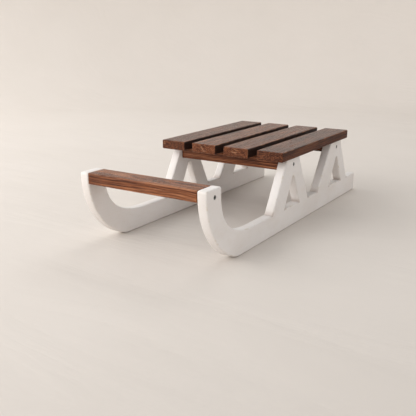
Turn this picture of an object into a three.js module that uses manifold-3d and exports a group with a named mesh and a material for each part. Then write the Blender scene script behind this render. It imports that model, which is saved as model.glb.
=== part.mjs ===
// Wooden toboggan with a slatted seat, built as separate boards and screws.
//
// Two one-piece runner boards carry everything. Each has an upswept nose, a
// straight rail and two A-shaped uprights with a triangular window. A cross bar
// joins the noses, two battens join the uprights, and the seat slats lie
// lengthwise on the battens. Countersunk wood screws hold every joint.
//
// Millimetres. X is the width, Y runs from the nose to the tail and Z is up.
// The origin is on the ground, under the middle of the toboggan.

import * as THREE from 'three';
import { mergeVertices } from 'three/addons/utils/BufferGeometryUtils.js';
import Module from 'manifold-3d';

const wasm = await Module();
wasm.setup();

// ---------------------------------------------------------------------------
// Driving dimensions. Places along Y are measured from the front of the nose.
// ---------------------------------------------------------------------------

const JOINT_GAP = 0.3; // clearance between pieces that touch
const LENGTH = 720;
const INNER_WIDTH = 246; // between the inner faces of the runners
const BOARD = 20; // thickness of the runner boards and of the slats
const SEAT_BASE = 150; // height of the underside of the slats

const RAIL_HEIGHT = 45;
const NOSE_HEIGHT = 148;
const NOSE_DEPTH = 48;
const NOSE_RADIUS = 145; // sweep of the runner's leading edge
const NOSE_CENTRE_HEIGHT = 140;
const LIFT_OFF_HEIGHT = 5; // the sweep eases into the flat sole below this
const THROAT_TOP = 133; // where the back of the nose stops being vertical
const THROAT_END = 171; // where the curve behind the nose meets the rail
const THROAT_PULL = { down: 53, forward: 90 }; // handles of that curve

// Each upright: the feet on the rail, the top under the seat and the window
const UPRIGHTS = [
  {
    feet: [246, 420],
    top: [307, 365],
    window: { sill: [302, 373], peak: 339 },
    batten: 308,
    screw: 338,
  },
  {
    feet: [474, 659],
    top: [546, 604],
    window: { sill: [543, 618], peak: 584.5 },
    batten: 550,
    screw: 580,
  },
];
const WINDOW_PEAK_HEIGHT = 104; // centre of the round at the window's peak
const WINDOW_PEAK_RADIUS = 6;

const BAR = { depth: 45, height: 22 };
const BATTEN = { depth: 54, height: 25 };

const SLAT_COUNT = 4;
const SLAT_WIDTH = 60;
const SLAT_SPACE = 20;
const SLAT_LENGTH = 360;
const SEAT_FRONT = 270;

const SCREW = { head: 4, rim: 0.5, shank: 2, point: 6, sunk: 0.4 }; // radii and heights
const CROSS_RECESS = { length: 4.6, width: 1.1, depth: 1.8 };
const NOSE_SCREW = { along: 26, height: 133, length: 45 };
const UPRIGHT_SCREW = { height: 135, length: 50 };
const SLAT_SCREW = { length: 38, fromBattenFront: 16, fromBattenEnd: 17 };

const EASED_EDGE = 1.6; // edge rounding across the thickness of a runner
const NOSE_CORNER = 4; // corner rounding of the nose and tail, side view
const SLAT_EDGE = 2.2; // edge rounding of the stained boards
const SLAT_END = 1.2;

const FILLET_STEPS = 3;
const NOSE_STEPS = 28;
const THROAT_STEPS = 22;
const BLEND_STEPS = 6;
const PEAK_STEPS = 8;
const EASING_STEPS = 2;
const ROUND_SEGMENTS = 20; // facets around a screw

// Values that follow from the driving dimensions
const BATTEN_LENGTH = INNER_WIDTH - 2 * JOINT_GAP;
const OUTER_FACE = INNER_WIDTH / 2 + BOARD;
const SLAT_PITCH = SLAT_WIDTH + SLAT_SPACE;

// ---------------------------------------------------------------------------
// Materials
// ---------------------------------------------------------------------------

function whitePaint() {
  return new THREE.MeshStandardMaterial({ color: 0xe6e1d8, roughness: 0.55, metalness: 0 });
}

function stainedPine() {
  return new THREE.MeshStandardMaterial({ color: 0x6e3d25, roughness: 0.5, metalness: 0 });
}

function screwSteel() {
  return new THREE.MeshStandardMaterial({ color: 0x8a8883, roughness: 0.35, metalness: 1 });
}

// ---------------------------------------------------------------------------
// Solids
// ---------------------------------------------------------------------------

// Turns a closed geometry into a solid that can be cut
function toSolid(geometry) {
  const bare = geometry.clone();
  bare.deleteAttribute('normal');
  bare.deleteAttribute('uv');
  const merged = mergeVertices(bare);
  const corners = merged.index.array;
  const kept = [];
  for (let i = 0; i < corners.length; i += 3) {
    const [a, b, c] = corners.slice(i, i + 3);
    if (a !== b && b !== c && c !== a) {
      kept.push(a, b, c);
    }
  }
  return new wasm.Manifold(new wasm.Mesh({
    numProp: 3,
    vertProperties: merged.attributes.position.array,
    triVerts: new Uint32Array(kept),
  }));
}

function toGeometry(solid) {
  const mesh = solid.getMesh();
  const geometry = new THREE.BufferGeometry();
  geometry.setAttribute('position', new THREE.BufferAttribute(mesh.vertProperties, 3));
  geometry.setIndex(new THREE.BufferAttribute(mesh.triVerts, 1));
  geometry.computeVertexNormals();
  return geometry;
}

function cut(geometry, tools) {
  const solid = tools.reduce((rest, tool) => rest.subtract(toSolid(tool)), toSolid(geometry));
  return toGeometry(solid);
}

// A rounded corner between two straight edges of an outline
function fillet(before, corner, after, radius) {
  const start = before.clone().sub(corner).setLength(radius).add(corner);
  const end = after.clone().sub(corner).setLength(radius).add(corner);
  return new THREE.QuadraticBezierCurve(start, corner, end).getPoints(FILLET_STEPS);
}

// Extrudes an outline to the given thickness, centred, with eased rims
function extrude(shape, thickness, easing) {
  const depth = thickness - 2 * easing;
  const geometry = new THREE.ExtrudeGeometry(shape, {
    depth,
    bevelThickness: easing,
    bevelSize: easing,
    bevelOffset: -easing,
    bevelSegments: EASING_STEPS,
  });
  return geometry.translate(0, 0, -depth / 2);
}

// A board with rounded long edges; its length runs along its own Z
function board(width, height, length, endEasing) {
  const x = width / 2;
  const y = height / 2;
  const corners = [[-x, -y], [x, -y], [x, y], [-x, y]].map((c) => new THREE.Vector2(...c));
  const outline = corners.flatMap((corner, i) => {
    return fillet(corners.at(i - 1), corner, corners[(i + 1) % corners.length], SLAT_EDGE);
  });
  return extrude(new THREE.Shape(outline), length, endEasing);
}

// Puts an outline drawn in side view upright: its x runs along Y and its y up Z
function sideView(geometry) {
  const along = new THREE.Vector3(0, 1, 0);
  const up = new THREE.Vector3(0, 0, 1);
  const across = new THREE.Vector3(1, 0, 0);
  return geometry.applyMatrix4(new THREE.Matrix4().makeBasis(along, up, across));
}

// ---------------------------------------------------------------------------
// Screws. A screw and its bore are turned about Z, with the head facing +Z.
// ---------------------------------------------------------------------------

function turned(profile) {
  const points = profile.map(([radius, height]) => new THREE.Vector2(radius, height));
  return new THREE.LatheGeometry(points, ROUND_SEGMENTS).rotateX(Math.PI / 2);
}

// Countersunk head with a cross recess, plain shank and pointed end
function screwGeometry(length) {
  const underHead = -SCREW.rim - (SCREW.head - SCREW.shank);
  const blank = turned([
    [0, -length],
    [SCREW.shank, SCREW.point - length],
    [SCREW.shank, underHead],
    [SCREW.head, -SCREW.rim],
    [SCREW.head, 0],
    [0, 0],
  ]);
  const { length: arm, width, depth } = CROSS_RECESS;
  const slot = new THREE.BoxGeometry(arm, width, 2 * depth);
  const crossSlot = new THREE.BoxGeometry(width, arm, 2 * depth);
  return cut(blank, [slot, crossSlot]);
}

// The countersunk bore for a screw, open at the face that the head is sunk in
function boreGeometry(length) {
  const shank = SCREW.shank + JOINT_GAP;
  const head = SCREW.head + JOINT_GAP;
  const underHead = -SCREW.rim - (head - shank);
  const clear = 2 * SCREW.sunk;
  return turned([
    [0, -length - JOINT_GAP],
    [shank, -length - JOINT_GAP],
    [shank, underHead],
    [head, -SCREW.rim],
    [head, clear],
    [0, clear],
  ]);
}

// Where each screw's head is, which way it faces and how long it is
function screwPlaces() {
  const places = [];
  const face = OUTER_FACE - SCREW.sunk;
  for (const [side, sign] of [['left', 1], ['right', -1]]) {
    places.push({
      name: `nose_screw_${side}`,
      at: new THREE.Vector3(sign * face, NOSE_SCREW.along, NOSE_SCREW.height),
      facing: new THREE.Vector3(sign, 0, 0),
      length: NOSE_SCREW.length,
    });
    UPRIGHTS.forEach((upright, i) => places.push({
      name: `upright_screw_${side}_${i + 1}`,
      at: new THREE.Vector3(sign * face, upright.screw, UPRIGHT_SCREW.height),
      facing: new THREE.Vector3(sign, 0, 0),
      length: UPRIGHT_SCREW.length,
    }));
  }
  UPRIGHTS.forEach((upright, i) => {
    for (let slat = 0; slat < SLAT_COUNT; slat += 1) {
      const reach = BATTEN_LENGTH / 2 - SLAT_SCREW.fromBattenEnd;
      const x = THREE.MathUtils.clamp(slatCentre(slat), -reach, reach);
      const y = upright.batten + SLAT_SCREW.fromBattenFront;
      const z = SEAT_BASE - JOINT_GAP - BATTEN.height + SCREW.sunk;
      places.push({
        name: `slat_screw_${slat + 1}_${i + 1}`,
        at: new THREE.Vector3(x, y, z),
        facing: new THREE.Vector3(0, 0, -1),
        length: SLAT_SCREW.length,
      });
    }
  });
  return places;
}

function turnTo(facing) {
  return new THREE.Quaternion().setFromUnitVectors(new THREE.Vector3(0, 0, 1), facing);
}

// Bore tools for the screws whose names start with a prefix, in assembly places
function boresFor(prefix) {
  return screwPlaces()
    .filter((screw) => screw.name.startsWith(prefix))
    .map(({ at, facing, length }) => {
      return boreGeometry(length).applyQuaternion(turnTo(facing)).translate(...at);
    });
}

// ---------------------------------------------------------------------------
// Runner
// ---------------------------------------------------------------------------

// The leading edge, from the top of the nose down to the flat sole
function noseSweep() {
  const drop = NOSE_CENTRE_HEIGHT - LIFT_OFF_HEIGHT;
  const turn = Math.asin(drop / NOSE_RADIUS);
  const sweep = new THREE.EllipseCurve(
    NOSE_RADIUS,
    NOSE_CENTRE_HEIGHT,
    NOSE_RADIUS,
    NOSE_RADIUS,
    Math.PI,
    Math.PI + turn,
  ).getPoints(NOSE_STEPS);
  const liftOff = sweep.at(-1);
  const angle = Math.PI / 2 - turn;
  const knee = new THREE.Vector2(liftOff.x + LIFT_OFF_HEIGHT / Math.tan(angle), 0);
  const landing = new THREE.Vector2(knee.x + knee.distanceTo(liftOff), 0);
  const blend = new THREE.QuadraticBezierCurve(liftOff, knee, landing).getPoints(BLEND_STEPS);
  return [...sweep.slice(0, -1), ...blend];
}

// The curve behind the nose, from the rail up to the vertical back of the nose
function throatCurve() {
  return new THREE.CubicBezierCurve(
    new THREE.Vector2(THROAT_END, RAIL_HEIGHT),
    new THREE.Vector2(THROAT_END - THROAT_PULL.forward, RAIL_HEIGHT),
    new THREE.Vector2(NOSE_DEPTH, THROAT_TOP - THROAT_PULL.down),
    new THREE.Vector2(NOSE_DEPTH, THROAT_TOP),
  ).getPoints(THROAT_STEPS);
}

// A triangular window with a round peak; its sides are tangent to that round
function windowOutline({ sill, peak }) {
  const centre = new THREE.Vector2(peak, WINDOW_PEAK_HEIGHT);
  const [front, rear] = sill.map((along) => new THREE.Vector2(along, RAIL_HEIGHT));
  const toFront = front.clone().sub(centre);
  const toRear = rear.clone().sub(centre);
  const startAngle = toRear.angle() + Math.acos(WINDOW_PEAK_RADIUS / toRear.length());
  const endAngle = toFront.angle() - Math.acos(WINDOW_PEAK_RADIUS / toFront.length());
  const round = new THREE.EllipseCurve(
    centre.x,
    centre.y,
    WINDOW_PEAK_RADIUS,
    WINDOW_PEAK_RADIUS,
    startAngle,
    endAngle + 2 * Math.PI,
  ).getPoints(PEAK_STEPS);
  return new THREE.Path([front, rear, ...round]);
}

function runnerShape() {
  const uprightTop = SEAT_BASE - JOINT_GAP;
  const tailBottom = new THREE.Vector2(LENGTH, 0);
  const tailTop = new THREE.Vector2(LENGTH, RAIL_HEIGHT);
  const noseBack = new THREE.Vector2(NOSE_DEPTH, NOSE_HEIGHT);
  const noseFront = new THREE.Vector2(0, NOSE_HEIGHT);
  const sole = noseSweep();
  const throat = throatCurve();
  const uprights = UPRIGHTS.toReversed().flatMap(({ feet, top }) => [
    new THREE.Vector2(feet[1], RAIL_HEIGHT),
    new THREE.Vector2(top[1], uprightTop),
    new THREE.Vector2(top[0], uprightTop),
    new THREE.Vector2(feet[0], RAIL_HEIGHT),
  ]);
  const shape = new THREE.Shape([
    ...sole,
    ...fillet(sole.at(-1), tailBottom, tailTop, NOSE_CORNER),
    ...fillet(tailBottom, tailTop, uprights[0], NOSE_CORNER),
    ...uprights,
    ...throat,
    ...fillet(throat.at(-1), noseBack, noseFront, NOSE_CORNER),
    ...fillet(noseBack, noseFront, sole[0], NOSE_CORNER),
  ]);
  shape.holes = UPRIGHTS.map((upright) => windowOutline(upright.window));
  return shape;
}

function runner(side, sign) {
  const middle = sign * (INNER_WIDTH + BOARD) / 2;
  const blank = sideView(extrude(runnerShape(), BOARD, EASED_EDGE)).translate(middle, 0, 0);
  const bores = [`nose_screw_${side}`, `upright_screw_${side}`].flatMap(boresFor);
  return part(`runner_${side}`, cut(blank, bores), whitePaint());
}

// ---------------------------------------------------------------------------
// Cross pieces and seat
// ---------------------------------------------------------------------------

function crossPiece(name, depth, height, front, top, bores) {
  const piece = sideView(board(depth, height, BATTEN_LENGTH, JOINT_GAP));
  piece.translate(0, front + depth / 2, top - height / 2);
  return part(name, cut(piece, bores), stainedPine());
}

function noseBar() {
  return crossPiece('front_bar', BAR.depth, BAR.height, 0, NOSE_HEIGHT, boresFor('nose_screw'));
}

function battens() {
  const names = ['front_batten', 'rear_batten'];
  return UPRIGHTS.map((upright, i) => {
    const own = [`upright_screw_left_${i + 1}`, `upright_screw_right_${i + 1}`];
    const slatScrews = Array.from({ length: SLAT_COUNT }, (_, s) => `slat_screw_${s + 1}_${i + 1}`);
    const bores = [...own, ...slatScrews].flatMap(boresFor);
    const top = SEAT_BASE - JOINT_GAP;
    return crossPiece(names[i], BATTEN.depth, BATTEN.height, upright.batten, top, bores);
  });
}

function slatCentre(index) {
  return (index - (SLAT_COUNT - 1) / 2) * SLAT_PITCH;
}

function seatSlats() {
  return Array.from({ length: SLAT_COUNT }, (_, i) => {
    const blank = board(SLAT_WIDTH, BOARD, SLAT_LENGTH, SLAT_END).rotateX(Math.PI / 2);
    const middle = SEAT_FRONT + SLAT_LENGTH / 2;
    blank.translate(slatCentre(i), middle, SEAT_BASE + BOARD / 2);
    return part(`seat_slat_${i + 1}`, cut(blank, boresFor(`slat_screw_${i + 1}_`)), stainedPine());
  });
}

function screws() {
  return screwPlaces().map(({ name, at, facing, length }) => {
    const screw = part(name, screwGeometry(length), screwSteel());
    screw.position.copy(at);
    screw.quaternion.copy(turnTo(facing));
    return screw;
  });
}

// ---------------------------------------------------------------------------
// Assembly
// ---------------------------------------------------------------------------

function part(name, geometry, material) {
  const mesh = new THREE.Mesh(geometry, material);
  mesh.name = name;
  return mesh;
}

const toboggan = new THREE.Group();
toboggan.add(runner('left', 1), runner('right', -1), noseBar(), ...battens(), ...seatSlats());
toboggan.add(...screws());
toboggan.position.y = -LENGTH / 2;

export default toboggan;
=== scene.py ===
"""Looks of the wooden toboggan: dressed boards, turned screws and a small studio.

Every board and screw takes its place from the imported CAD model. Metres, with X across the toboggan,
Y from the nose to the tail and Z up.
"""
import math
import random

import bmesh
import bpy
from mathutils import Matrix, Vector, noise


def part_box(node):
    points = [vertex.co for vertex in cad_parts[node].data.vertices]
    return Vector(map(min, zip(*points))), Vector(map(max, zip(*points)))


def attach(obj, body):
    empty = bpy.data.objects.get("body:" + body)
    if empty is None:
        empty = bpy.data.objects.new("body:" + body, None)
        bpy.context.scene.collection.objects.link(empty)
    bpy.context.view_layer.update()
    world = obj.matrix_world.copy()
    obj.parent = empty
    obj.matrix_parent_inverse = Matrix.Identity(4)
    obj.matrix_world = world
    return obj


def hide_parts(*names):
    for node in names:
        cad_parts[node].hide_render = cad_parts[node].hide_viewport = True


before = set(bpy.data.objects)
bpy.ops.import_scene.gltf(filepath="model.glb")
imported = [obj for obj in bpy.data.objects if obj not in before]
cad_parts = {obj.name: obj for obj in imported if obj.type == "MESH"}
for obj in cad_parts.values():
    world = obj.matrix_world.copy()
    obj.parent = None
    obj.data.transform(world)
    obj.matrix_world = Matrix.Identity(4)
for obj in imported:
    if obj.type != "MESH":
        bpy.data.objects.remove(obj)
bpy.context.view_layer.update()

MM = 0.001

# ---------------------------------------------------------------------------
# Camera, stage and light
# ---------------------------------------------------------------------------

CAMERA_PLACE = Vector((0.67645, -1.18505, 0.40435))
CAMERA_AZIMUTH = math.radians(32.76)
CAMERA_ELEVATION = math.radians(16.09)
CAMERA_LENS = 53.13  # millimetres on a 36 mm sensor

FLOOR_HEIGHT = -0.2 * MM
BACKDROP_RADIUS = 0.9  # of the curve between the floor and the wall
BACKDROP_DISTANCE = 2.0  # from the origin to the foot of that curve
BACKDROP_HEIGHT = 1.3
BACKDROP_STEPS = 24
BACKDROP_SIDES = 64
FLOOR_CENTRE = 0.5  # radius of the floor's middle face


def make_camera():
    data = bpy.data.cameras.new("camera")
    data.lens = CAMERA_LENS
    data.clip_start = 0.01
    camera = bpy.data.objects.new("camera", data)
    bpy.context.scene.collection.objects.link(camera)
    level = math.cos(CAMERA_ELEVATION)
    back = Vector((
        math.sin(CAMERA_AZIMUTH) * level,
        -math.cos(CAMERA_AZIMUTH) * level,
        math.sin(CAMERA_ELEVATION),
    ))
    camera.location = CAMERA_PLACE
    camera.rotation_euler = (-back).to_track_quat("-Z", "Y").to_euler()
    bpy.context.scene.camera = camera


def make_backdrop(material):
    """A round seamless sheet: flat under the toboggan and curving up to a low wall all round."""
    profile = [(radius, FLOOR_HEIGHT) for radius in (FLOOR_CENTRE, BACKDROP_DISTANCE)]
    for step in range(1, BACKDROP_STEPS + 1):
        angle = math.pi / 2 * step / BACKDROP_STEPS
        out = BACKDROP_DISTANCE + BACKDROP_RADIUS * math.sin(angle)
        profile.append((out, FLOOR_HEIGHT + BACKDROP_RADIUS * (1 - math.cos(angle))))
    profile.append((BACKDROP_DISTANCE + BACKDROP_RADIUS, BACKDROP_HEIGHT))
    bm = bmesh.new()
    rings = [round_ring(bm, radius, height, BACKDROP_SIDES) for radius, height in profile]
    bm.faces.new(rings[0])
    bridge(bm, rings)
    new_object("backdrop", bm, material)


def area_light(name, place, target, size, power, colour):
    data = bpy.data.lights.new(name, "AREA")
    data.shape = "RECTANGLE"
    data.size, data.size_y = size
    data.energy = power
    data.color = colour
    light = bpy.data.objects.new(name, data)
    bpy.context.scene.collection.objects.link(light)
    light.location = place
    aim = Vector(target) - Vector(place)
    light.rotation_euler = aim.to_track_quat("-Z", "Y").to_euler()


NEUTRAL = (1.0, 0.995, 0.99)
COOL = (0.93, 1.0, 1.09)

# name: (place, point it faces, width and height in metres, watts, colour)
LIGHTS = {
    "key": ((-1.4, -2.0, 1.1), (0, 0, 0.1), (3.0, 1.8), 57, NEUTRAL),
    "left": ((-2.4, 0.1, 1.2), (0, 0.2, 0.1), (2.4, 1.8), 17.5, NEUTRAL),
    "right": ((2.1, -0.5, 0.55), (0, 0, 0.1), (1.8, 0.8), 5.6, COOL),
    "wall": ((-1.6, -0.6, 2.2), (-2.2, 2.4, 0.7), (1.2, 1.2), 3.4, NEUTRAL),
    "back": ((-0.6, 2.2, 2.4), (0, 0, 0.1), (1.8, 1.0), 16, NEUTRAL),
}
SKY = (0.625, 0.620, 0.615)


def make_light():
    for name, settings in LIGHTS.items():
        area_light(name, *settings)
    world = bpy.data.worlds.new("studio")
    bpy.context.scene.world = world
    world.use_nodes = True
    background = world.node_tree.nodes["Background"]
    background.inputs["Color"].default_value = (*SKY, 1)
    background.inputs["Strength"].default_value = 1.0
    bpy.context.scene.view_settings.view_transform = "Standard"


# ---------------------------------------------------------------------------
# Mesh helpers
# ---------------------------------------------------------------------------

SHARP_ANGLE = math.radians(38)
WELD = 0.001 * MM
EDGE_ATTRIBUTE = "edge"  # 1 on rounded edges and 0 on flats, for the materials
CORNER_ATTRIBUTE = "corner"  # 1 in a runner's inside corners and 0 away from them, for the painted shade and grime there


def mark_sharp(bm):
    """Shades every face smooth and leaves creases only where faces meet at a sharp angle."""
    for face in bm.faces:
        face.smooth = True
    for edge in bm.edges:
        edge.smooth = len(edge.link_faces) != 2 or edge.calc_face_angle(0) < SHARP_ANGLE


def new_object(name, bm, material):
    """Turns a bmesh into an object."""
    bmesh.ops.recalc_face_normals(bm, faces=bm.faces)
    mark_sharp(bm)
    mesh = bpy.data.meshes.new(name)
    bm.to_mesh(mesh)
    bm.free()
    mesh.materials.append(material)
    piece = bpy.data.objects.new(name, mesh)
    bpy.context.scene.collection.objects.link(piece)
    return piece


def round_ring(bm, radius, height, steps):
    """A level ring of vertices about Z."""
    ring = []
    for step in range(steps):
        turn = 2 * math.pi * step / steps
        ring.append(bm.verts.new((radius * math.cos(turn), radius * math.sin(turn), height)))
    return ring


def bridge(bm, rings):
    """Joins neighbouring closed rings of vertices with quads."""
    for inner, outer in zip(rings, rings[1:]):
        count = len(inner)
        for i in range(count):
            j = (i + 1) % count
            bm.faces.new((inner[i], inner[j], outer[j], outer[i]))


def cut_with(piece, tool_bm):
    """Cuts a closed tool, given in world space, out of a piece."""
    tool = new_object("tool", tool_bm, piece.data.materials[0])
    modifier = piece.modifiers.new("cut", "BOOLEAN")
    modifier.operation = "DIFFERENCE"
    modifier.solver = "EXACT"
    modifier.object = tool
    graph = bpy.context.evaluated_depsgraph_get()
    cut = bpy.data.meshes.new_from_object(piece.evaluated_get(graph))
    piece.modifiers.clear()
    old = piece.data
    name = old.name
    piece.data = cut
    bpy.data.meshes.remove(old)
    cut.name = name
    while len(cut.materials) > 1:
        cut.materials.pop()
    bpy.data.objects.remove(tool)
    tidy_cut(cut)


def tidy_cut(mesh):
    """Welds the slivers that a cut leaves and marks the creases again."""
    bm = bmesh.new()
    bm.from_mesh(mesh)
    bmesh.ops.remove_doubles(bm, verts=bm.verts, dist=WELD)
    bmesh.ops.dissolve_degenerate(bm, edges=bm.edges, dist=WELD)
    mark_sharp(bm)
    for face in bm.faces:
        face.material_index = 0
    bm.to_mesh(mesh)
    bm.free()


def finish_piece(piece, node):
    """Puts a dressed piece in its CAD node's stead."""
    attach(piece, "root")
    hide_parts(node)


# ---------------------------------------------------------------------------
# Screws
# ---------------------------------------------------------------------------

TURN_STEPS = 40
COUNTERSINK_GAP = 0.3 * MM
TOOL_ABOVE = 2 * MM  # how far a bore's tool stands out of the wood
SHANK_SHARE = 0.5  # the shank's radius, as a share of the head's
HEAD_RIM = 0.12  # the height of the head's rim, as a share of its radius

# The cross recess: its depth, reach and half width are shares of the head's radius
RECESS_DEPTH = 0.75
RECESS_REACH = 0.66
RECESS_WIDTH = 0.19
RECESS_ABOVE = 0.2 * MM  # how far the tool stands above the head
RECESS_FLARE = 1.04  # the cross's spread at the top of the tool
RECESS_FLOOR = (-1.0, 0.62)  # height in recess depths, and the cross's spread there
RECESS_POINT = -1.5  # height of the point under the floor, in recess depths


class ScrewPlace:
    """Where a screw's head is, which way it faces, and its radii, read from its CAD node."""

    def __init__(self, node):
        low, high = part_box(node)
        size = high - low
        self.axis = max(range(3), key=lambda i: size[i])
        self.length = size[self.axis]
        across = [i for i in range(3) if i != self.axis]
        self.head_radius = size[across[0]] / 2
        self.shank_radius = self.head_radius * SHANK_SHARE
        middle = (low + high) / 2
        sign = self.head_side(node, middle)
        self.facing = Vector([sign if i == self.axis else 0 for i in range(3)])
        self.place = middle + self.facing * self.length / 2

    def head_side(self, node, middle):
        """+1 or -1: the side of the screw that holds its widest points."""
        points = [v.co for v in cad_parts[node].data.vertices]
        across = [i for i in range(3) if i != self.axis]
        widest = max(points, key=lambda p: sum((p[i] - middle[i]) ** 2 for i in across))
        return 1 if widest[self.axis] > middle[self.axis] else -1

    def matrix(self):
        turn = Vector((0, 0, 1)).rotation_difference(self.facing).to_matrix().to_4x4()
        return Matrix.Translation(self.place) @ turn


def lathe(bm, profile):
    """Turns a profile of (radius, height) points about Z; both ends lie on the axis."""
    rings = [round_ring(bm, radius, height, TURN_STEPS) for radius, height in profile[1:-1]]
    bridge(bm, rings)
    for ring, (_, height) in ((rings[0], profile[0]), (rings[-1], profile[-1])):
        tip = bm.verts.new((0, 0, height))
        for i in range(TURN_STEPS):
            bm.faces.new((ring[i], ring[(i + 1) % TURN_STEPS], tip))


def recess_tool(radius):
    """A cross with tapering arms, pointing down from just above the head."""
    reach, width, depth = radius * RECESS_REACH, radius * RECESS_WIDTH, radius * RECESS_DEPTH
    outline = []
    for quarter in range(4):
        turn = Matrix.Rotation(quarter * math.pi / 2, 2)
        for point in ((reach, -width), (reach, width), (width, width)):
            outline.append(turn @ Vector(point))
    floor_height, floor_share = RECESS_FLOOR
    bm = bmesh.new()
    rings = []
    for height, share in ((RECESS_ABOVE, RECESS_FLARE), (floor_height * depth, floor_share)):
        rings.append([bm.verts.new((*(p * share), height)) for p in outline])
    bridge(bm, rings)
    bm.faces.new(rings[0])
    tip = bm.verts.new((0, 0, RECESS_POINT * depth))
    for i, vertex in enumerate(rings[-1]):
        bm.faces.new((vertex, rings[-1][(i + 1) % len(outline)], tip))
    return bm


def make_screw(name, material):
    where = ScrewPlace(name)
    head, shank, length = where.head_radius, where.shank_radius, where.length
    rim = HEAD_RIM * head
    neck = -rim - (head - shank)
    flat_top = [(0, 0), (0.55 * head, 0)]
    eased_rim = [
        (0.90 * head, -0.02 * head),
        (0.97 * head, -0.05 * head),
        (head, -rim),
        (0.97 * head, -1.3 * rim),
    ]
    countersink = [(1.1 * shank, neck + 0.1 * shank), (shank, neck - 0.3 * shank)]
    point = [
        (shank, -length + 3 * shank),
        (0.75 * shank, -length + 1.6 * shank),
        (0.2 * shank, -length + 0.2 * shank),
        (0, -length),
    ]
    bm = bmesh.new()
    lathe(bm, flat_top + eased_rim + countersink + point)
    screw = new_object(name + "_turned", bm, material)
    cut_with(screw, recess_tool(head))
    screw.matrix_world = where.matrix()
    finish_piece(screw, name)


def drill(piece, screw_names):
    """Cuts the countersunk bores for these screws into a piece."""
    for name in screw_names:
        where = ScrewPlace(name)
        head = where.head_radius + COUNTERSINK_GAP
        shank = where.shank_radius + COUNTERSINK_GAP
        rim = HEAD_RIM * head
        bm = bmesh.new()
        lathe(bm, [
            (0, TOOL_ABOVE),
            (head + TOOL_ABOVE, TOOL_ABOVE),
            (head, 0),
            (head, -rim),
            (shank, -rim - (head - shank)),
            (shank, -where.length - COUNTERSINK_GAP),
            (0, -where.length - COUNTERSINK_GAP),
        ])
        bm.transform(where.matrix())
        cut_with(piece, bm)


# ---------------------------------------------------------------------------
# Stained boards
# ---------------------------------------------------------------------------

ALONG_X, ALONG_Y = 0, 1
CORNER_STEPS = 5
SUPPORT = 1.0 * MM  # flat strip beside a rounded edge
ACROSS_STEPS = 8
STATION_LENGTH = 5 * MM
END_RINGS = (0.9, 0.62, 0.3)
PLANING_WAVE = 0.07 * MM
EDGE_WAVE = 0.14 * MM
EDGE_WAVE_BIAS = 0.25  # added to the noise, so that most of an edge is pressed a little
COARSE_NOISE = Vector((35, 14, 35))  # waves per metre: across, along and through
FINE_NOISE = Vector((60, 75, 60))
NOISE_SHIFT = Vector((7.31, 3.17, 1.73))  # from one board's noise to the next one's
DEEPEST_PRESS = 0.4  # of the edge's radius

DING_SPACING = 45 * MM
DING_RADIUS = (1.5 * MM, 4.0 * MM)
DING_DEPTH = (0.15 * MM, 0.55 * MM)


def board_section(half_width, half_height, radius):
    """Points round a board's section as (place, outward direction, edge share)."""
    points = []
    sides = (half_width, half_height, half_width, half_height)
    for quarter in range(4):
        start = quarter * math.pi / 2
        across = math.cos(start + math.pi / 4)
        up = math.sin(start + math.pi / 4)
        middle = Vector((
            math.copysign(half_width - radius, across),
            math.copysign(half_height - radius, up),
        ))
        for step in range(CORNER_STEPS + 1):
            angle = start + step / CORNER_STEPS * math.pi / 2
            outward = Vector((math.cos(angle), math.sin(angle)))
            share = math.sin(step / CORNER_STEPS * math.pi)
            points.append((middle + radius * outward, outward, share))
        outward = Vector((math.cos(start + math.pi / 2), math.sin(start + math.pi / 2)))
        run = Vector((-outward.y, outward.x))
        begin = middle + radius * outward
        length = 2 * (sides[quarter] - radius)
        count = ACROSS_STEPS if quarter % 2 == 0 else ACROSS_STEPS // 2
        inner = length - 2 * SUPPORT
        for step in range(count + 1):
            points.append((begin + run * (SUPPORT + inner * step / count), outward, 0.0))
    return points


def board_stations(length, radius):
    """Along a board, (place, inset) pairs: eased ends and even steps between."""
    ends = []
    for step in range(CORNER_STEPS + 1):
        angle = step / CORNER_STEPS * math.pi / 2
        ends.append((radius * (1 - math.cos(angle)), radius * (1 - math.sin(angle))))
    half = length / 2
    front = [(-half + along, inset) for along, inset in ends]
    back = [(half - along, inset) for along, inset in reversed(ends)]
    span = length - 2 * radius
    count = max(4, round(span / STATION_LENGTH))
    middle = [(-half + radius + span * i / count, 0.0) for i in range(1, count)]
    return front + middle + back


class Dings:
    """Small knocks scattered along a board's long edges and corners."""

    def __init__(self, half_width, half_height, length, count, rng):
        self.spots = []
        for _ in range(count):
            place = Vector((
                rng.choice((-1, 1)) * half_width,
                rng.uniform(-0.5, 0.5) * length,
                rng.choice((-1, 1)) * half_height,
            ))
            self.spots.append((place, rng.uniform(*DING_RADIUS), rng.uniform(*DING_DEPTH)))

    def depth(self, point):
        deepest = 0.0
        for place, radius, depth in self.spots:
            share = (point - place).length / radius
            if share < 2:
                deepest = max(deepest, depth * math.exp(-share * share))
        return deepest


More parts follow.
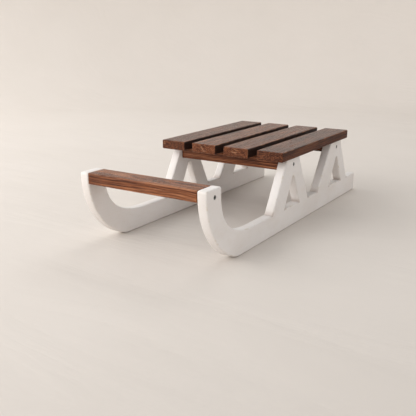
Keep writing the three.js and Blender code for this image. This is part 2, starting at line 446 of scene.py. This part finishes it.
def make_board(name, node, material, along, edge, end_edge, seed, screws):
    """A planed board in a CAD node's place. along is ALONG_X or ALONG_Y."""
    low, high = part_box(node)
    size = high - low
    length = size[along]
    width = size[1 - along]
    height = size.z
    rng = random.Random(seed)
    dings = Dings(width / 2, height / 2, length, round(length / DING_SPACING), rng)
    section = board_section(width / 2, height / 2, edge)
    bm = bmesh.new()
    layer = bm.verts.layers.float.new(EDGE_ATTRIBUTE)
    shift = seed * NOISE_SHIFT

    def vertex(flat, outward, share, station, inset, end_share):
        spot = flat - outward * inset
        point = Vector((spot.x, station, spot.y))
        direction = Vector((outward.x, 0, outward.y))
        coarse = noise.noise(point * COARSE_NOISE + shift)
        fine = noise.noise(point * FINE_NOISE - shift)
        press = PLANING_WAVE * (0.5 + coarse)
        press += share * EDGE_WAVE * max(0.0, fine + EDGE_WAVE_BIAS)
        press += dings.depth(point)
        made = bm.verts.new(point - direction * min(press, edge * DEEPEST_PRESS))
        made[layer] = max(share, end_share)
        return made

    rings = []
    for station, inset in board_stations(length, end_edge):
        end_share = math.sin(math.pi * inset / end_edge) if 0 < inset < end_edge else 0.0
        rings.append([
            vertex(flat, outward, share, station, inset, end_share)
            for flat, outward, share in section
        ])
    bridge(bm, rings)
    for ring in (rings[0], rings[-1]):
        close_end(bm, ring, layer)
    piece = new_object(name, bm, material)
    middle = (low + high) / 2
    turn = Matrix.Rotation(-math.pi / 2, 4, "Z") if along == ALONG_X else Matrix.Identity(4)
    piece.matrix_world = Matrix.Translation(middle) @ turn
    bpy.context.view_layer.update()
    drill(piece, screws)
    finish_piece(piece, node)


def close_end(bm, ring, layer):
    """Fills a board's end with shrinking rings, so that the sawn end is not one big face."""
    centre = sum((v.co for v in ring), Vector()) / len(ring)
    rings = [ring]
    for share in END_RINGS:
        loop = []
        for outer in ring:
            inner = bm.verts.new(centre + (outer.co - centre) * share)
            inner[layer] = 0.0
            loop.append(inner)
        rings.append(loop)
    bridge(bm, rings)
    bm.faces.new(rings[-1])


# ---------------------------------------------------------------------------
# Runners
# ---------------------------------------------------------------------------

RUNNER_EDGE = 3.0 * MM
RUNNER_EDGE_STEPS = 5
RUNNER_EDGE_WAVE = 0.18 * MM
RUNNER_WAVE_BIAS = 0.2
RUNNER_NOISE = Vector((45, 45, 25))  # waves per metre: along, upwards and across
BORE_LOOP = 12 * MM  # loops smaller than this in the runner's middle are bores
OUTLINE_STEP = 4 * MM
SLICE_GAP = 0.01 * MM  # points closer than this in a slice are one
STRAIGHT = 0.002  # sine of the least turn that counts as a corner
INSIDE_CORNER = math.radians(20)  # the least turn of an inside corner
# how far the painted shade and grime spread from a runner's inside corners
CORNER_REACH = 7 * MM


def loop_span(points):
    """How far a loop of (y, z) points reaches along the toboggan."""
    return max(p.x for p in points) - min(p.x for p in points)


def side_loops(node):
    """The closed loops of a CAD runner's middle section as lists of (y, z) points."""
    low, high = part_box(node)
    bm = bmesh.new()
    bm.from_mesh(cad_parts[node].data)
    bmesh.ops.remove_doubles(bm, verts=bm.verts, dist=SLICE_GAP)
    cut = bmesh.ops.bisect_plane(
        bm,
        geom=[*bm.verts, *bm.edges, *bm.faces],
        plane_co=((low.x + high.x) / 2, 0, 0),
        plane_no=(1, 0, 0),
        dist=SLICE_GAP,
    )["geom_cut"]
    edges = {g for g in cut if isinstance(g, bmesh.types.BMEdge)}
    loops = []
    while edges:
        edge = edges.pop()
        first, here = edge.verts
        loop = [first]
        while here is not first:
            loop.append(here)
            edge = next(e for e in here.link_edges if e in edges)
            edges.discard(edge)
            here = edge.other_vert(here)
        points = [Vector((v.co.y, v.co.z)) for v in loop]
        if loop_span(points) > BORE_LOOP:
            loops.append(tidy_loop(points))
    bm.free()
    return loops


def tidy_loop(points):
    """Drops points that lie on a straight stretch and turns the loop anticlockwise."""
    kept = []
    for i, here in enumerate(points):
        before, after = points[i - 1], points[(i + 1) % len(points)]
        a, b = here - before, after - here
        if abs(a.x * b.y - a.y * b.x) > STRAIGHT * a.length * b.length:
            kept.append(here)
    double_area = sum(p.x * q.y - q.x * p.y for p, q in zip(kept, kept[1:] + kept[:1]))
    return kept if double_area > 0 else kept[::-1]


def split_long(points, step):
    """Adds points on long straight stretches, so that edges can carry small waves."""
    made = []
    for i, here in enumerate(points):
        after = points[(i + 1) % len(points)]
        count = max(1, round((after - here).length / step))
        made += [here.lerp(after, j / count) for j in range(count)]
    return made


def mitres(points, outward_sign):
    """At each point of a loop, the vector that moves both neighbouring edges out by one."""
    made = []
    for i, here in enumerate(points):
        a = (here - points[i - 1]).normalized()
        b = (points[(i + 1) % len(points)] - here).normalized()
        normal_a = Vector((a.y, -a.x)) * outward_sign
        normal_b = Vector((b.y, -b.x)) * outward_sign
        made.append((normal_a + normal_b) / (1 + normal_a.dot(normal_b)))
    return made


def inside_corners(points, outward_sign):
    """The points of a loop where the wood turns inwards, as in a window's corners."""
    found = []
    for i, here in enumerate(points):
        before = here - points[i - 1]
        after = points[(i + 1) % len(points)] - here
        if before.angle_signed(after) * outward_sign > INSIDE_CORNER:
            found.append(here)
    return found


def rounded_profile(half):
    """Across a runner, (depth, inset, edge share) from one face to the other."""
    profile = [(half, RUNNER_EDGE + SUPPORT, 0.0)]
    for step in range(RUNNER_EDGE_STEPS + 1):
        angle = step / RUNNER_EDGE_STEPS * math.pi / 2
        share = math.sin(step / RUNNER_EDGE_STEPS * math.pi)
        depth = half - RUNNER_EDGE * (1 - math.cos(angle))
        profile.append((depth, RUNNER_EDGE * (1 - math.sin(angle)), share))
    return profile + [(-depth, inset, share) for depth, inset, share in reversed(profile)]


def wall_rings(bm, loop, outward_sign, profile, seed):
    """The wall along one loop of a runner's outline, as rings of vertices."""
    edge_layer = bm.verts.layers.float[EDGE_ATTRIBUTE]
    corner_layer = bm.verts.layers.float[CORNER_ATTRIBUTE]
    corners = inside_corners(loop, outward_sign)
    points = split_long(loop, OUTLINE_STEP)
    outward = mitres(points, outward_sign)
    face_depth = profile[0][0]
    rings = []
    for depth, inset, share in profile:
        ring = []
        for point, direction in zip(points, outward):
            place = Vector((point.x, point.y, depth))
            wave = noise.noise(place * RUNNER_NOISE + Vector((0, 0, seed)))
            press = inset + share * RUNNER_EDGE_WAVE * max(0.0, wave + RUNNER_WAVE_BIAS)
            spot = point - direction * press
            vertex = bm.verts.new((depth, spot.x, spot.y))
            vertex[edge_layer] = share
            near = min((point - corner).length for corner in corners) / CORNER_REACH
            vertex[corner_layer] = math.exp(-near * near) if abs(depth) < face_depth else 0.0
            ring.append(vertex)
        rings.append(ring)
    return rings


def fill_face(bm, rings):
    """Fills one side face between the outline's ring and the windows' rings."""
    edges = []
    for ring in rings:
        for i, vertex in enumerate(ring):
            edges.append(bm.edges.get((vertex, ring[(i + 1) % len(ring)])))
    bmesh.ops.triangle_fill(bm, edges=edges, use_beauty=True)


def make_runner(name, node, material, seed, screws):
    """A painted runner in a CAD node's place, with softened edges all round."""
    low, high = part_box(node)
    profile = rounded_profile((high.x - low.x) / 2)
    bm = bmesh.new()
    bm.verts.layers.float.new(EDGE_ATTRIBUTE)
    bm.verts.layers.float.new(CORNER_ATTRIBUTE)
    loops = sorted(side_loops(node), key=loop_span)
    outline = loops[-1]
    walls = []
    for loop in loops:
        wall = wall_rings(bm, loop, 1 if loop is outline else -1, profile, seed)
        bridge(bm, wall)
        walls.append(wall)
    for end in (0, -1):
        fill_face(bm, [wall[end] for wall in walls])
    piece = new_object(name, bm, material)
    piece.matrix_world = Matrix.Translation(((low.x + high.x) / 2, 0, 0))
    bpy.context.view_layer.update()
    drill(piece, screws)
    finish_piece(piece, node)


# ---------------------------------------------------------------------------
# Materials
# ---------------------------------------------------------------------------


class Graph:
    """Short calls for wiring one material's nodes."""

    def __init__(self, name):
        self.material = bpy.data.materials.new(name)
        self.material.use_nodes = True
        self.tree = self.material.node_tree
        self.shader = self.tree.nodes["Principled BSDF"]

    def feed(self, socket, value):
        if isinstance(value, bpy.types.NodeSocket):
            self.tree.links.new(value, socket)
        else:
            socket.default_value = value

    def add(self, kind, inputs, **settings):
        node = self.tree.nodes.new(kind)
        for key, value in settings.items():
            setattr(node, key, value)
        for key, value in inputs.items():
            self.feed(node.inputs[key], value)
        return node

    def math(self, operation, *values, clamp=False):
        node = self.add("ShaderNodeMath", dict(enumerate(values)), operation=operation)
        node.use_clamp = clamp
        return node.outputs[0]

    def scaled(self, vector, factors, offset=(0, 0, 0)):
        node = self.add(
            "ShaderNodeVectorMath", {0: vector, 1: factors, 2: offset}, operation="MULTIPLY_ADD"
        )
        return node.outputs[0]

    def grain(self, vector, factors, offset=(0, 0, 0), detail=2.0, roughness=0.5, warp=0.0):
        """Noise from 0 to 1 whose features are 1 / factor millimetres long on each axis."""
        inputs = {
            "Vector": self.scaled(vector, factors, offset),
            "Scale": 1.0,
            "Detail": detail,
            "Roughness": roughness,
            "Distortion": warp,
        }
        return self.add("ShaderNodeTexNoise", inputs).outputs["Fac"]

    def step(self, value, low, high):
        """A smooth step from 0 at low to 1 at high."""
        inputs = {"Value": value, "From Min": low, "From Max": high}
        node = self.add("ShaderNodeMapRange", inputs, interpolation_type="SMOOTHSTEP")
        return node.outputs["Result"]

    def mix(self, factor, first, second):
        """From the colour first at factor 0 to the colour second at factor 1."""
        node = self.add("ShaderNodeMix", {"Factor": factor}, data_type="RGBA")
        colours = [socket for socket in node.inputs if socket.type == "RGBA"]
        for socket, colour in zip(colours, (first, second)):
            self.feed(socket, colour)
        return next(socket for socket in node.outputs if socket.type == "RGBA")

    def ramp(self, factor, stops):
        node = self.add("ShaderNodeValToRGB", {"Fac": factor})
        ramp = node.color_ramp
        while len(ramp.elements) < len(stops):
            ramp.elements.new(0.5)
        for element, (place, colour) in zip(ramp.elements, stops):
            element.position = place
            element.color = (*colour, 1)
        return node.outputs["Color"]

    def bump(self, height, millimetres):
        inputs = {"Height": height, "Distance": millimetres * MM, "Strength": 1.0}
        return self.add("ShaderNodeBump", inputs).outputs["Normal"]

    def attribute(self, name):
        node = self.add("ShaderNodeAttribute", {}, attribute_name=name)
        return node.outputs["Fac"]

    def millimetres(self):
        """Object coordinates in millimetres: x across, y along and z through a board."""
        place = self.tree.nodes.new("ShaderNodeTexCoord").outputs["Object"]
        return self.scaled(place, (1000, 1000, 1000))

    def length(self, first, second):
        squares = [self.math("POWER", value, 2) for value in (first, second)]
        return self.math("SQRT", self.math("ADD", *squares))

    def distance(self, vector, spot):
        node = self.add("ShaderNodeVectorMath", {0: vector, 1: spot}, operation="DISTANCE")
        return node.outputs["Value"]

    def parts(self, vector):
        node = self.add("ShaderNodeSeparateXYZ", {0: vector})
        return node.outputs[0], node.outputs[1], node.outputs[2]


# Noise in the wood, in features per millimetre across a board, along it and through it
WANDER_NOISE = (0, 0.006, 0)
SWAY_NOISE = (0.025, 0.005, 0.025)
FIBRE_NOISE = (1.1, 0.016, 1.1)
STREAK_NOISE = (0.26, 0.0075, 0.26)
BLOTCH_NOISE = (0.035, 0.018, 0.050)
PORE_NOISE = (1.6, 0.035, 1.6)
KNOT_NOISE = (0.5, 0.5, 0.5)
PATCH_NOISE = (0.12, 0.05, 0.12)
RUB_NOISE = (0.22, 0.5, 0.60)
PINE_SHIFT = (13.7, 5.3, 9.1)  # from one board's noise to the next one's

# Growth rings and knots: lengths in millimetres, shares of a ring or of a knot's radius
RING_SPACING = 3.4
RING_WANDER = 14
RING_SWAY = 16
RING_RISE = (0.25, 0.86)
RING_FALL = (1.00, 0.90)
RING_MEAN = 0.4
KNOT_STRETCH = 0.72
KNOT_SWELL_REACH = 2.1
KNOT_SWELL = 2.4
KNOT_RAGGED = 1.6

# How far each kind of grain moves the tone along STAIN_STOPS
RING_CONTRAST = 0.25
FIBRE_CONTRAST = 0.85
STREAK_CONTRAST = 1.15
BLOTCH_CONTRAST = 0.40
STAIN_STOPS = [
    (0.00, (0.013, 0.005, 0.003)),
    (0.30, (0.050, 0.015, 0.007)),
    (0.55, (0.142, 0.045, 0.019)),
    (0.78, (0.275, 0.098, 0.041)),
    (1.00, (0.420, 0.185, 0.090)),
]

# Marks on the stain and the painted shade on a slat's sides, and how much of the colour under it each
# one hides
SLAT_SIDE = (28.4, 29.7)  # where a slat's rounded edge turns into its side
# painted shade on a slat's sides, darkest where a side faces the next slat
SIDE_SHADE_COLOUR = (0.014, 0.005, 0.003)
PORE_COLOUR, PORE_SHARE = (0.010, 0.005, 0.004), 0.5
KNOT_COLOUR, KNOT_SHARE = (0.022, 0.009, 0.006), 0.85
RUBBED_COLOUR, EDGE_RUB, SPOT_RUB = (0.420, 0.210, 0.105), 0.40, 0.75

# The finish: roughness, then the relief as shares of PINE_RELIEF in millimetres
STAIN_ROUGHNESS = 0.16
FIBRE_ROUGHNESS = 0.20
RUBBED_ROUGHNESS = 0.20
SIDE_ROUGHNESS = 0.30
PINE_RELIEF = 0.20
RING_HEIGHT = 0.5
FIBRE_HEIGHT = 0.9
PORE_HEIGHT = -0.7
PINE_IOR = 1.36
PINE_SPECULAR = 0.29


def shifted(seed, steps):
    """Where a seed's noise starts, in noise coordinates."""
    return tuple(seed * step for step in steps)


def growth_rings(graph, place, offset, pith, knots):
    """The late wood of each ring, from 0 to 1, and a mask of the knots or None."""
    across, along, through = graph.parts(place)
    wander = graph.grain(place, WANDER_NOISE, offset)
    sway = graph.grain(place, SWAY_NOISE, offset, warp=0.3)
    drift = graph.math("MULTIPLY_ADD", wander, RING_WANDER, across)
    from_x = graph.math("SUBTRACT", drift, pith[0] + RING_WANDER / 2)
    from_z = graph.math("SUBTRACT", through, pith[1])
    distance = graph.math("MULTIPLY_ADD", sway, RING_SWAY, graph.length(from_x, from_z))

    knot_mask = None
    for knot_across, knot_along, radius in knots:
        dx = graph.math("SUBTRACT", across, knot_across)
        dy = graph.math("MULTIPLY", graph.math("SUBTRACT", along, knot_along), KNOT_STRETCH)
        reach = graph.length(dx, dy)
        share = graph.math("POWER", graph.math("DIVIDE", reach, KNOT_SWELL_REACH * radius), 2)
        swell = graph.math("EXPONENT", graph.math("MULTIPLY", share, -1))
        distance = graph.math("MULTIPLY_ADD", swell, KNOT_SWELL * radius, distance)
        ragged = graph.grain(place, KNOT_NOISE, offset)
        rim = graph.math("MULTIPLY_ADD", ragged, KNOT_RAGGED, reach)
        mask = graph.step(rim, radius + KNOT_RAGGED, radius)
        knot_mask = mask if knot_mask is None else graph.math("MAXIMUM", knot_mask, mask)

    ring = graph.math("FRACT", graph.math("DIVIDE", distance, RING_SPACING))
    late = graph.math("MULTIPLY", graph.step(ring, *RING_RISE), graph.step(ring, *RING_FALL))
    return late, knot_mask


def rub_mask(graph, place, offset, rubs):
    """Where the stain is worn off: patches along the edges, and strokes in the given spots."""
    patch = graph.step(graph.grain(place, PATCH_NOISE, offset, detail=4), 0.48, 0.64)
    worn = graph.math("MULTIPLY", graph.attribute(EDGE_ATTRIBUTE), patch)
    rubbed = graph.math("MULTIPLY", worn, EDGE_RUB)
    for *spot, radius in rubs:
        near = graph.step(graph.distance(place, spot), radius, 0.2 * radius)
        strokes = graph.step(graph.grain(place, RUB_NOISE, offset, detail=3), 0.50, 0.60)
        mask = graph.math("MULTIPLY", graph.math("MULTIPLY", near, strokes), SPOT_RUB)
        rubbed = graph.math("MAXIMUM", rubbed, mask)
    return rubbed


def stained_pine(name, seed, pith, warmth, knots=(), rubs=(), shaded_sides=(0, 0)):
    """Satin stain on solid pine: rings round a pith, fibres, knots and rubbed spots, and painted
    shade on a slat's sides.

    All in millimetres: pith is the tree's heart as (across, through), knots are (across, along,
    radius) and rubs are (across, along, through, radius). warmth is the board's mean place on
    STAIN_STOPS. shaded_sides is the share of painted shade, in SIDE_SHADE_COLOUR, on its left and
    right sides.
    """
    graph = Graph(name)
    place = graph.millimetres()
    across, _, _ = graph.parts(place)
    offset = shifted(seed, PINE_SHIFT)
    late, knot_mask = growth_rings(graph, place, offset, pith, knots)
    fibre = graph.grain(place, FIBRE_NOISE, offset, detail=3, roughness=0.6)
    streak = graph.grain(place, STREAK_NOISE, offset, detail=4, roughness=0.55, warp=0.3)
    blotch = graph.grain(place, BLOTCH_NOISE, offset, detail=2)
    pore = graph.step(graph.grain(place, PORE_NOISE, offset, detail=2), 0.57, 0.70)
    rubbed = rub_mask(graph, place, offset, rubs)

    noise_mean = 0.5 * (FIBRE_CONTRAST + STREAK_CONTRAST + BLOTCH_CONTRAST)
    middle = warmth - noise_mean + RING_CONTRAST * RING_MEAN
    tone = graph.math("MULTIPLY_ADD", late, -RING_CONTRAST, middle)
    tone = graph.math("MULTIPLY_ADD", fibre, FIBRE_CONTRAST, tone)
    tone = graph.math("MULTIPLY_ADD", streak, STREAK_CONTRAST, tone)
    tone = graph.math("MULTIPLY_ADD", blotch, BLOTCH_CONTRAST, tone)
    colour = graph.ramp(tone, STAIN_STOPS)
    # painted shade on the slat's sides, darkest in the gaps between the slats
    for sign, darkness in zip((-1, 1), shaded_sides):
        side = graph.step(graph.math("MULTIPLY", across, sign), *SLAT_SIDE)
        colour = graph.mix(graph.math("MULTIPLY", side, darkness), colour, (*SIDE_SHADE_COLOUR, 1))
    colour = graph.mix(graph.math("MULTIPLY", pore, PORE_SHARE), colour, (*PORE_COLOUR, 1))
    if knot_mask is not None:
        knotty = graph.math("MULTIPLY", knot_mask, KNOT_SHARE)
        colour = graph.mix(knotty, colour, (*KNOT_COLOUR, 1))
    colour = graph.mix(rubbed, colour, (*RUBBED_COLOUR, 1))

    any_side = graph.step(graph.math("ABSOLUTE", across), *SLAT_SIDE)
    roughness = graph.math("MULTIPLY_ADD", fibre, FIBRE_ROUGHNESS, STAIN_ROUGHNESS)
    roughness = graph.math("MULTIPLY_ADD", rubbed, RUBBED_ROUGHNESS, roughness)
    roughness = graph.math("MULTIPLY_ADD", any_side, SIDE_ROUGHNESS, roughness)
    height = graph.math("MULTIPLY", fibre, FIBRE_HEIGHT)
    height = graph.math("MULTIPLY_ADD", late, RING_HEIGHT, height)
    height = graph.math("MULTIPLY_ADD", pore, PORE_HEIGHT, height)

    graph.feed(graph.shader.inputs["Base Color"], colour)
    graph.feed(graph.shader.inputs["Roughness"], roughness)
    graph.feed(graph.shader.inputs["Normal"], graph.bump(height, PINE_RELIEF))
    graph.shader.inputs["IOR"].default_value = PINE_IOR
    graph.shader.inputs["Specular IOR Level"].default_value = PINE_SPECULAR
    return graph.material


PAINT = (0.808, 0.776, 0.754)
PAINT_WARM = (0.775, 0.733, 0.702)
PAINT_WORN = (0.640, 0.560, 0.450)
# the colour of the painted shade and grime in a runner's inside corners
CORNER_SHADE_AND_GRIME = (0.300, 0.205, 0.145)

# Noise in the paint, in features per millimetre across a runner, along it and upwards
STROKE_NOISE = (0.5, 0.012, 0.9)
WOOD_NOISE = (0.25, 0.006, 0.25)
CLOUD_NOISE = (0.012, 0.008, 0.012)
MOTTLE_NOISE = (0.07, 0.05, 0.07)
SPECK_NOISE = (0.40, 0.40, 0.40)
WEAR_NOISE = (0.10, 0.06, 0.10)
PAINT_SHIFT = (11.3, 4.7, 8.9)  # from one runner's noise to the next one's

# How much each mark shows
EDGE_WEAR = 0.55
SPECK_SHARE = 0.30
MOTTLE_SHARE = 0.10
STROKE_SHARE = 0.12
# and of the painted shade and grime in the inside corners
CORNER_SHADE_AND_GRIME_SHARE = 0.42

PAINT_ROUGHNESS = 0.50
STROKE_ROUGHNESS = 0.18
PAINT_RELIEF = 0.22  # millimetres
WOOD_HEIGHT = 0.9
STROKE_HEIGHT = 0.7
PAINT_IOR = 1.48


def white_paint(name, seed):
    """Brushed off-white paint: strokes, specks, worn edges, and painted shade with grime in the
    inside corners.
    """
    graph = Graph(name)
    place = graph.millimetres()
    offset = shifted(seed, PAINT_SHIFT)
    stroke = graph.grain(place, STROKE_NOISE, offset, detail=3, roughness=0.6)
    wood = graph.grain(place, WOOD_NOISE, offset, detail=2, warp=0.5)
    cloud = graph.grain(place, CLOUD_NOISE, offset, detail=2)
    mottle = graph.grain(place, MOTTLE_NOISE, offset, detail=3)
    speck = graph.step(graph.grain(place, SPECK_NOISE, offset, detail=1), 0.70, 0.75)
    patch = graph.step(graph.grain(place, WEAR_NOISE, offset, detail=4), 0.50, 0.68)

    worn = graph.math("MULTIPLY", graph.attribute(EDGE_ATTRIBUTE), patch)
    worn = graph.math("MULTIPLY", worn, EDGE_WEAR)
    marks = graph.math("MULTIPLY", speck, SPECK_SHARE)
    marks = graph.math("MULTIPLY_ADD", graph.step(mottle, 0.45, 0.75), MOTTLE_SHARE, marks)
    marks = graph.math("MULTIPLY_ADD", graph.step(stroke, 0.50, 0.80), STROKE_SHARE, marks)
    # painted shade and grime: the paint darkens towards the inside corners
    corner_shade_and_grime = graph.math("MULTIPLY", graph.attribute(CORNER_ATTRIBUTE), CORNER_SHADE_AND_GRIME_SHARE)
    colour = graph.mix(graph.step(cloud, 0.35, 0.70), (*PAINT, 1), (*PAINT_WARM, 1))
    colour = graph.mix(graph.math("ADD", worn, marks, clamp=True), colour, (*PAINT_WORN, 1))
    colour = graph.mix(corner_shade_and_grime, colour, (*CORNER_SHADE_AND_GRIME, 1))

    roughness = graph.math("MULTIPLY_ADD", stroke, STROKE_ROUGHNESS, PAINT_ROUGHNESS)
    height = graph.math("MULTIPLY", stroke, STROKE_HEIGHT)
    height = graph.math("MULTIPLY_ADD", wood, WOOD_HEIGHT, height)
    graph.feed(graph.shader.inputs["Base Color"], colour)
    graph.feed(graph.shader.inputs["Roughness"], roughness)
    graph.feed(graph.shader.inputs["Normal"], graph.bump(height, PAINT_RELIEF))
    graph.shader.inputs["IOR"].default_value = PAINT_IOR
    return graph.material


ZINC_NOISE = (0.6, 0.6, 0.6)
ZINC_DARK = (0.13, 0.14, 0.14)
ZINC_LIGHT = (0.30, 0.31, 0.30)
# the colour of the painted shade down in a screw's recess
RECESS_SHADE_COLOUR, RECESS_SHADE_SHARE = (0.012, 0.012, 0.012), 0.9
RECESS_SHADE = (-0.10, -0.60)  # millimetres from the head's top, where the painted shade begins and is full
ZINC_RELIEF = 0.03  # millimetres


def screw_steel(name):
    """Zinc-plated steel, with painted shade down in the recess."""
    graph = Graph(name)
    place = graph.millimetres()
    _, _, height = graph.parts(place)
    cloud = graph.grain(place, ZINC_NOISE, detail=3)
    shine = graph.mix(cloud, (*ZINC_DARK, 1), (*ZINC_LIGHT, 1))
    # painted shade: the recess darkens with depth below the head's top
    recess_shade = graph.math("MULTIPLY", graph.step(height, *RECESS_SHADE), RECESS_SHADE_SHARE)
    colour = graph.mix(recess_shade, shine, (*RECESS_SHADE_COLOUR, 1))
    roughness = graph.math("MULTIPLY_ADD", cloud, 0.25, 0.30)
    graph.feed(graph.shader.inputs["Base Color"], colour)
    graph.feed(graph.shader.inputs["Roughness"], roughness)
    graph.feed(graph.shader.inputs["Normal"], graph.bump(cloud, ZINC_RELIEF))
    graph.shader.inputs["Metallic"].default_value = 1.0
    return graph.material


CLOTH_LIGHT = (0.705, 0.657, 0.610)
CLOTH_DARK = (0.665, 0.616, 0.567)
CLOTH_SHADE, SHADE_SHARE = (0.30, 0.27, 0.24), 0.24
SHADE_TOWARDS = (0.8, -0.6)  # to the front right
SHADE_REACH = (250, 1300)  # millimetres
CLOTH_NOISE = (0.003, 0.003, 0.003)
CREASE_NOISE = (0.0016, 0.006, 0.003)
CREASE_RELIEF = 5.0  # millimetres


def backdrop_cloth(name):
    """Matt pale cloth: faint clouds and creases, and a little darker towards the front right."""
    graph = Graph(name)
    place = graph.millimetres()
    across, along, _ = graph.parts(place)
    cloud = graph.grain(place, CLOTH_NOISE, detail=5)
    crease = graph.grain(place, CREASE_NOISE, detail=4, warp=1.2)
    sideways = graph.math("MULTIPLY", along, SHADE_TOWARDS[1])
    forward = graph.math("MULTIPLY_ADD", across, SHADE_TOWARDS[0], sideways)
    shade = graph.math("MULTIPLY", graph.step(forward, *SHADE_REACH), SHADE_SHARE)
    colour = graph.mix(cloud, (*CLOTH_DARK, 1), (*CLOTH_LIGHT, 1))
    colour = graph.mix(shade, colour, (*CLOTH_SHADE, 1))
    graph.feed(graph.shader.inputs["Base Color"], colour)
    graph.feed(graph.shader.inputs["Normal"], graph.bump(crease, CREASE_RELIEF))
    graph.shader.inputs["Roughness"].default_value = 0.95
    graph.shader.inputs["Specular IOR Level"].default_value = 0.1
    return graph.material


# ---------------------------------------------------------------------------
# Assembly
# ---------------------------------------------------------------------------

STAIN_EDGE = 2.4 * MM
SLAT_END_EDGE = 1.4 * MM
JOINT_END_EDGE = 1.0 * MM

FREE_SIDE_SHADE = 0.15  # the share of painted shade, SIDE_SHADE_COLOUR, on a slat's outer side
GAP_SIDE_SHADE = 0.92  # and on a side that faces the next slat

# CAD node: the axis it runs on, and what stained_pine says of its look
BOARDS = {
    "front_bar": dict(along=ALONG_X, pith=(-12, -38), warmth=0.65, knots=[(6, 22, 3.5)]),
    "front_batten": dict(along=ALONG_X, pith=(20, 46), warmth=0.58),
    "rear_batten": dict(along=ALONG_X, pith=(-16, 60), warmth=0.46, knots=[(-8, -60, 4)]),
    "seat_slat_1": dict(
        along=ALONG_Y, pith=(6, -58), warmth=0.41, knots=[(9, 70, 4)],
        rubs=[(-25, -180, 3, 5)], shaded_sides=(FREE_SIDE_SHADE, GAP_SIDE_SHADE),
    ),
    "seat_slat_2": dict(
        along=ALONG_Y, pith=(-14, 44), warmth=0.52, knots=[(12, 40, 3.5)],
        rubs=[(-2, -180, 0, 11)], shaded_sides=(GAP_SIDE_SHADE, GAP_SIDE_SHADE),
    ),
    "seat_slat_3": dict(
        along=ALONG_Y, pith=(10, -40), warmth=0.46, knots=[(4, 120, 3)],
        rubs=[(-3, -180, 2, 10)], shaded_sides=(GAP_SIDE_SHADE, GAP_SIDE_SHADE),
    ),
    "seat_slat_4": dict(
        along=ALONG_Y, pith=(-8, -66), warmth=0.40, knots=[(10, -40, 3.5)],
        shaded_sides=(GAP_SIDE_SHADE, FREE_SIDE_SHADE),
    ),
}
RUNNER_SEEDS = {"left": 20, "right": 21}


def screws_through(board, names):
    """The screws whose boxes reach into a board's box."""
    low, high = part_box(board)
    inside = []
    for name in names:
        a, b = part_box(name)
        if all(a[i] < high[i] and b[i] > low[i] for i in range(3)):
            inside.append(name)
    return inside


def make_object():
    screw_names = sorted(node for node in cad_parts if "screw" in node)
    steel = screw_steel("screw_steel")
    for name in screw_names:
        make_screw(name, steel)
    for seed, (node, board) in enumerate(BOARDS.items(), start=1):
        look = dict(board)
        along = look.pop("along")
        material = stained_pine("stained_pine_" + node, seed, **look)
        end_edge = SLAT_END_EDGE if along == ALONG_Y else JOINT_END_EDGE
        screws = screws_through(node, screw_names)
        make_board(node + "_planed", node, material, along, STAIN_EDGE, end_edge, seed, screws)
    for side, seed in RUNNER_SEEDS.items():
        node = "runner_" + side
        material = white_paint("white_paint_" + side, seed)
        make_runner(node + "_painted", node, material, seed, screws_through(node, screw_names))


make_camera()
make_backdrop(backdrop_cloth("backdrop_cloth"))
make_light()
make_object()
